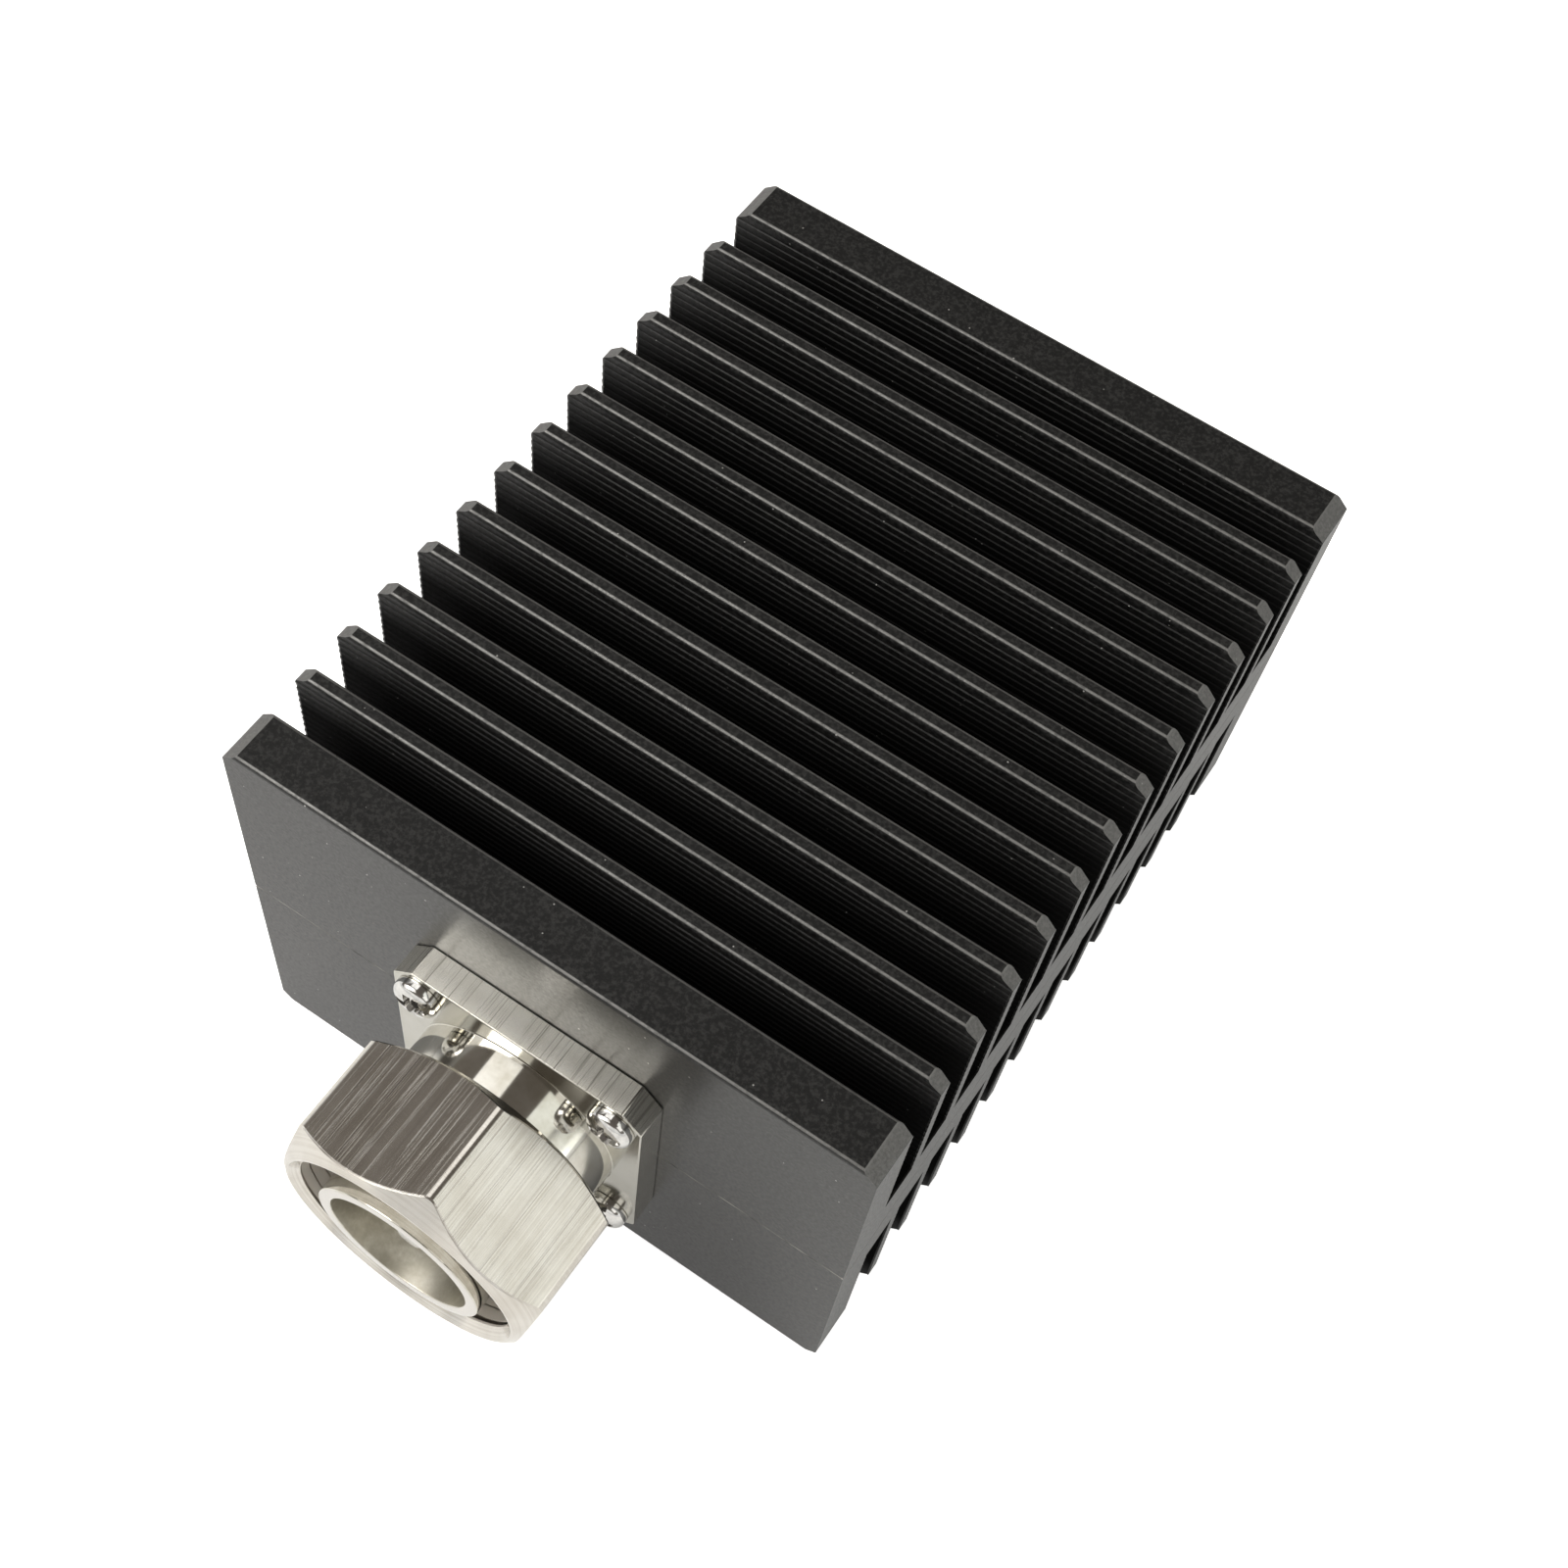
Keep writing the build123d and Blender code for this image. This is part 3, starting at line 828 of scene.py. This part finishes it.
def crossCutter():
    # two tapered blades that cut the recess
    s = screw
    shell = bmesh.new()
    top, depth = s["headHeight"] + s["crossAbove"], s["crossDepth"] + s["crossAbove"]
    ends = [(top, s["crossWidth"], s["crossSlot"]),
            (top - depth, s["crossWidth"] * s["crossTaper"], s["crossSlot"] * s["slotTaper"])]
    for angle in (0, math.pi / 2):
        turn = Matrix.Rotation(angle, 3, "Z")
        rings = []
        for height, width, slot in ends:
            x, y, h = width / 2 * mm, slot / 2 * mm, height * mm
            corners = [(x, y, h), (-x, y, h), (-x, -y, h), (x, -y, h)]
            rings.append([shell.verts.new(turn @ Vector(corner)) for corner in corners])
        shell.faces.new(rings[0])
        shell.faces.new(reversed(rings[1]))
        joinRings(shell, rings[1], rings[0])
    bmesh.ops.recalc_face_normals(shell, faces=shell.faces)
    return shellMesh(shell, "crossCutter")


def panHead():
    s = screw
    crown = []
    for i in range(s["crownSteps"] + 1):           # rounded shoulder that flattens towards the middle
        a = math.pi / 2 * i / s["crownSteps"]
        crown.append((s["crownR"] + (s["headR"] - s["crownR"]) * math.cos(a),
                      s["sideHeight"] + (s["headHeight"] - s["sideHeight"]) * math.sin(a)))
    end = s["headHeight"] - s["length"]
    rows = [(0.0, end), (s["threadR"], end), (s["threadR"], 0.0), (s["headR"] - s["headEdge"], 0.0),
            (s["headR"], s["headEdge"])] + crown + [(0.0, s["headHeight"])]
    mesh = lathed("panHead", rows, s["steps"])
    made = bpy.data.objects.new("panHead", mesh)
    cutter = bpy.data.objects.new("crossCutter", crossCutter())
    for item in (made, cutter):
        bpy.context.scene.collection.objects.link(item)
    cut = made.modifiers.new("recess", "BOOLEAN")
    cut.object = cutter
    cut.operation = "DIFFERENCE"
    cut.use_self = True
    bpy.context.view_layer.update()
    mesh = bpy.data.meshes.new_from_object(made.evaluated_get(bpy.context.evaluated_depsgraph_get()))
    bpy.data.objects.remove(cutter)
    made.modifiers.clear()
    made.data = mesh
    return made


def screwTree(sizes):
    # one screw on each corner of a square, each turned as it came to rest
    graph, g = newTree("cornerScrews", sizes)
    apart = g["Spacing"] * mm
    grid = graph.node("GeometryNodeMeshGrid", None,
                      {"Size X": apart, "Size Y": apart, "Vertices X": 2, "Vertices Y": 2})
    points = graph.node("GeometryNodeMeshToPoints", {"mode": "VERTICES"}, {0: grid})
    master = graph.node("GeometryNodeObjectInfo", None, {"Object": g["Screw"]}).other("Geometry")
    turn = graph.node("FunctionNodeRandomValue", {"data_type": "FLOAT"},
                      {2: 0.0, 3: math.pi / 2, "Seed": g["Seed"]}, output=1)
    turn = graph.node("ShaderNodeCombineXYZ", None, {2: turn})
    screws = graph.node("GeometryNodeInstanceOnPoints", None,
                        {"Points": points, "Instance": master, "Rotation": turn})
    middle = graph.node("ShaderNodeCombineXYZ", None, {1: g["Seat Y"], 2: g["Axis Z"]})
    placed = graph.node("GeometryNodeTransform", None, {"Geometry": screws, "Translation": middle,
                                                        "Rotation": (math.pi / 2, 0, 0)})
    endTree(graph, placed, g["Material"])
    return graph


def flangeScrews():
    master = panHead()
    sizes = {"Spacing": screw["Spacing"], "Seed": screw["Seed"], "Screw": master, "Axis Z": axisZ,
             "Seat Y": faceY - body["flangeThickness"] * mm, "Material": looks["steel_screw"]}
    mesh = runTree("flangeScrews", screwTree(sizes), sizes)
    bpy.data.objects.remove(master)
    return addObject("flangeScrews", mesh, "block", None, sharp=28.0,
                     standsFor=("flange_screws",))


flangeScrews()
print("screws done")


def hexRadius(angle):
    # outline of the nut: six flats with rounded corners
    sector = math.radians(60)
    within = (angle + math.radians(nut["turn"] - 30)) % sector - sector / 2
    half, turned = nut["flats"] / 2, abs(abs(within) - sector / 2)
    centre = (half - nut["cornerRound"]) / math.cos(sector / 2)
    if math.tan(abs(within)) * half < (half - nut["cornerRound"]) * math.tan(sector / 2):
        return half / math.cos(within)
    return centre * math.cos(turned) + math.sqrt(nut["cornerRound"] ** 2 - (centre * math.sin(turned)) ** 2)


def nutAngles():
    # even steps along each flat, and round each corner
    reach = math.atan(math.tan(math.radians(30)) * (1 - 2 * nut["cornerRound"] / nut["flats"]))
    corner = math.radians(30) - reach
    along, around = nut["flatSteps"], nut["cornerSteps"]
    angles = []
    for flat in range(6):
        middle = math.radians(60 * flat + 60 - nut["turn"])
        angles += [middle - reach + 2 * reach * i / along for i in range(along + 1)]
        angles += [middle + reach + 2 * corner * i / around for i in range(1, around)]
    return angles


def onCone(r, start, startR, rise):
    return r, start + (r - startR) * rise


def hexNut():
    n = nut
    widest = hexRadius(math.radians(30 - n["turn"]))
    frontRise = n["frontSlope"] / (widest - n["frontR"])
    backRise = n["backSlope"] / (widest - n["backR"])
    edge, lip = n["edge"], n["front"] - n["leadDepth"]

    def frontRow(inward, down):
        return lambda a: onCone(hexRadius(a) - inward, n["front"] - down, n["frontR"], -frontRise)

    def backRow(inward, up):
        return lambda a: onCone(hexRadius(a) - inward, n["back"] + up, n["backR"], backRise)

    rows = [(n["leadR"], n["front"]), (n["frontR"], n["front"]), frontRow(edge, 0), frontRow(0, edge),
            backRow(0, edge), backRow(edge, 0), (n["backR"], n["back"]),
            (n["collarR"] + n["collarEdge"], n["back"]), (n["collarR"], n["back"] + n["collarEdge"]),
            (n["collarR"], n["ringBack"]), (n["ringR"], n["ringBack"]),
            (n["ringR"], n["ringFront"]), (n["collarR"], n["ringFront"]),
            (n["collarR"], n["collarFront"]), (n["reliefR"], n["collarFront"]),
            (n["reliefR"], n["threadEnd"]), (n["boreR"], n["threadEnd"]),
            (n["boreR"], lip - n["landFoot"]), (n["threadR"], lip - n["landTop"]),
            (n["threadR"], lip - n["landEnd"]), (n["threadR"] + n["leadEdge"], lip + n["leadEdge"] / 2)]
    mesh = turnedMesh("nutShell", rows, nutAngles())
    whole = joinMeshes("hexNut", mesh, threadMesh())
    return addObject("hexNut", whole, "nut", looks["nut_plating"], sharp=15.0,
                     standsFor=("coupling_nut",))


def threadMesh():
    n = nut
    start = n["threadEnd"] + n["runIn"]
    length = n["front"] - n["leadDepth"] - n["runOut"] - start
    foot = n["boreR"] + n["sunk"]
    sizes = {"Radius": foot, "Pitch": n["pitch"], "Turns": length / n["pitch"], "Depth": foot - n["threadR"],
             "Root Width": n["rootWidth"], "Crest Width": n["crestWidth"], "Steps": n["threadSteps"],
             "Growth": n["growth"], "Start Share": n["startShare"],
             "Start Y": faceY - start * mm, "Axis Z": axisZ, "Material": looks["nut_plating"]}
    return runTree("thread", threadTree(sizes), sizes)


def threadTree(sizes):
    # a right-handed ridge that climbs the bore out of its wall and ends under the lead-in cone
    graph, g = newTree("boreThread", sizes)
    radius = g["Radius"] * mm
    line = graph.node("GeometryNodeCurveSpiral", None,
                      {"Resolution": g["Steps"], "Rotations": g["Turns"], "Start Radius": radius,
                       "End Radius": radius, "Height": g["Turns"] * g["Pitch"] * mm, "Reverse": True})
    line = graph.node("GeometryNodeSetCurveNormal", {"mode": "Z_UP"}, {0: line})
    along = graph.node("GeometryNodeSplineParameter", output=0)
    grown = (along * g["Turns"] * g["Growth"]).math("MINIMUM", 1)
    grown = grown * (1 - g["Start Share"]) + g["Start Share"]
    line = graph.node("GeometryNodeSetCurveRadius", None, {0: line, "Radius": grown})
    ridge = graph.node("GeometryNodeCurvePrimitiveQuadrilateral", {"mode": "TRAPEZOID"},
                       {"Bottom Width": g["Root Width"] * mm, "Top Width": g["Crest Width"] * mm,
                        "Offset": 0.0, "Height": g["Depth"] * 2 * mm})
    ridge = graph.node("GeometryNodeTransform", None, {"Geometry": ridge, "Rotation": (0, 0, -math.pi / 2)})
    swept = graph.node("GeometryNodeCurveToMesh", None,
                       {"Curve": line, "Profile Curve": ridge, "Fill Caps": True})
    middle = graph.node("ShaderNodeCombineXYZ", None, {1: g["Start Y"], 2: g["Axis Z"]})
    placed = graph.node("GeometryNodeTransform", None, {"Geometry": swept, "Translation": middle,
                                                        "Rotation": (math.pi / 2, 0, 0)})
    endTree(graph, placed, g["Material"])
    return graph


hexNut()
print("nut done")


camera = {
    "eye": (0.0573366, -0.1122646, 0.2532062),
    "right": (0.824701, 0.561497, 0.067745),
    "up": (-0.525365, 0.716205, 0.459394),
    "lens": 50.2594,
    "shiftX": 0.037213,
    "shiftY": 0.075082,
}


def addCamera():
    data = bpy.data.cameras.new("camera")
    data.lens = camera["lens"]
    data.shift_x = camera["shiftX"]
    data.shift_y = camera["shiftY"]
    data.clip_start = 0.01
    made = bpy.data.objects.new("camera", data)
    right, up = Vector(camera["right"]), Vector(camera["up"])
    turn = Matrix((right, up, right.cross(up))).transposed()
    made.matrix_world = Matrix.Translation(camera["eye"]) @ turn.to_4x4()
    bpy.context.scene.collection.objects.link(made)
    bpy.context.scene.camera = made


studio = {
    "floor": 12.0,             # metres across
    "paper": (0.82, 0.82, 0.81, 1),
    "paperSeen": 0.32,         # added brightness of the paper where a camera or a mirror sees it
    "paperWhite": 0.52,        # and what the camera gets besides
    "low": (0.15, 0.135, 0.12),          # air over the horizon, halfway up and overhead
    "middle": (0.19, 0.17, 0.152),
    "high": (0.13, 0.115, 0.10),
    "middleUp": 0.45,
    "front": (1.10, 1.09, 1.05, 1),      # pale wall low in front of the connector
    "frontFrom": (-0.55, -0.75),         # it fades in between these y of a direction
    "frontTop": (0.56, 0.44),            # and upwards out between these z
    "behind": 0.22,            # share of it that stands behind the block
    "behindFrom": (0.38, 0.75),
    "skyline": (0.95, 0.95, 0.94, 1),    # paper hung low all round, behind the floor
    "skylineTop": (0.22, 0.14),
}

# each softbox by its direction from the object, distance, size round Y and along Y, and brightness
lamps = {
    "keyLamp": {"toward": (-0.517, -0.38, 0.767), "away": 0.85, "size": (0.52, 0.44), "level": 5.5,
                "colour": (1.0, 0.985, 0.96)},
    "keyHalo": {"toward": (-0.52, -0.36, 0.77), "away": 0.95, "size": (1.10, 0.70), "level": 1.1,
                "colour": (1.0, 0.985, 0.96)},
    "backLamp": {"toward": (-0.288, 0.267, 0.921), "away": 0.91, "size": (0.50, 0.28), "level": 1.3,
                 "colour": (1.0, 0.99, 0.97)},
    "rightPanel": {"toward": (0.790, 0.38, 0.48), "away": 0.90, "size": (0.94, 0.55), "level": 0.99,
                   "colour": (0.97, 1.0, 0.95)},
    "rightLamp": {"toward": (0.766, -0.17, 0.62), "away": 0.90, "size": (0.40, 0.52), "level": 1.1,
                  "colour": (1.0, 0.995, 0.96)},
}


def addFloor():
    side = studio["floor"] / 2
    mesh = bpy.data.meshes.new("floor")
    corners = [(-side, -side, 0), (side, -side, 0), (side, side, 0), (-side, side, 0)]
    mesh.from_pydata(corners, [], [(0, 1, 2, 3)])
    made = bpy.data.objects.new("floor", mesh)
    bpy.context.scene.collection.objects.link(made)
    material = bpy.data.materials.new("paper")
    material.use_nodes = True
    graph = Graph(material.node_tree)
    material.node_tree.nodes.clear()
    direct = graph.node("ShaderNodeLightPath", output=0)
    seen = direct.math("MAXIMUM", direct.other("Is Glossy Ray"))
    seen = seen.math("MAXIMUM", direct.other("Is Transmission Ray"))
    white = seen * studio["paperSeen"] + direct * studio["paperWhite"]
    plain = graph.node("ShaderNodeBsdfDiffuse", None, {"Color": studio["paper"]})
    glow = graph.node("ShaderNodeEmission", None, {"Color": (1, 1, 1, 1), "Strength": white})
    both = graph.node("ShaderNodeAddShader", None, {0: plain, 1: glow})
    graph.node("ShaderNodeOutputMaterial", None, {0: both})
    mesh.materials.append(material)


def addLamp(name, lamp):
    width, height = lamp["size"]
    data = bpy.data.lights.new(name, "AREA")
    data.shape = "RECTANGLE"
    data.size = width
    data.size_y = height
    data.energy = lamp["level"] * math.pi * width * height
    data.color = lamp["colour"]
    made = bpy.data.objects.new(name, data)
    toward = Vector(lamp["toward"]).normalized()
    across = Vector((0, 1, 0)).cross(toward).normalized()
    turn = Matrix((across, toward.cross(across), toward)).transposed()
    spot = Vector((0, faceY, axisZ)) + toward * lamp["away"]
    made.matrix_world = Matrix.Translation(spot) @ turn.to_4x4()
    made.visible_camera = False
    bpy.context.scene.collection.objects.link(made)


def addWorld():
    world = bpy.data.worlds.new("studio")
    world.use_nodes = True
    bpy.context.scene.world = world
    graph = Graph(world.node_tree)
    world.node_tree.nodes.clear()
    spot = graph.node("ShaderNodeTexCoord", output=0)
    x = graph.node("ShaderNodeSeparateXYZ", None, {0: spot})
    y, up = x.other("Y"), x.other("Z").math("MAXIMUM", 0)
    tone = graph.ramp(up, (0.0, studio["low"]), (studio["middleUp"], studio["middle"]), (1.0, studio["high"]))
    wall = graph.spread(y, *studio["frontFrom"]) * graph.spread(up, *studio["frontTop"])
    wall = wall + graph.spread(y, *studio["behindFrom"]) * studio["behind"]
    tone = mixColour(graph, wall, tone, studio["front"])
    tone = mixColour(graph, graph.spread(up, *studio["skylineTop"]), tone, studio["skyline"])
    around = graph.node("ShaderNodeBackground", None, {0: tone, 1: 1.0})
    graph.node("ShaderNodeOutputWorld", None, {0: around})


addCamera()
addFloor()
addWorld()
for name, lamp in lamps.items():
    addLamp(name, lamp)
bpy.context.scene.view_settings.view_transform = "Standard"
print("studio done")
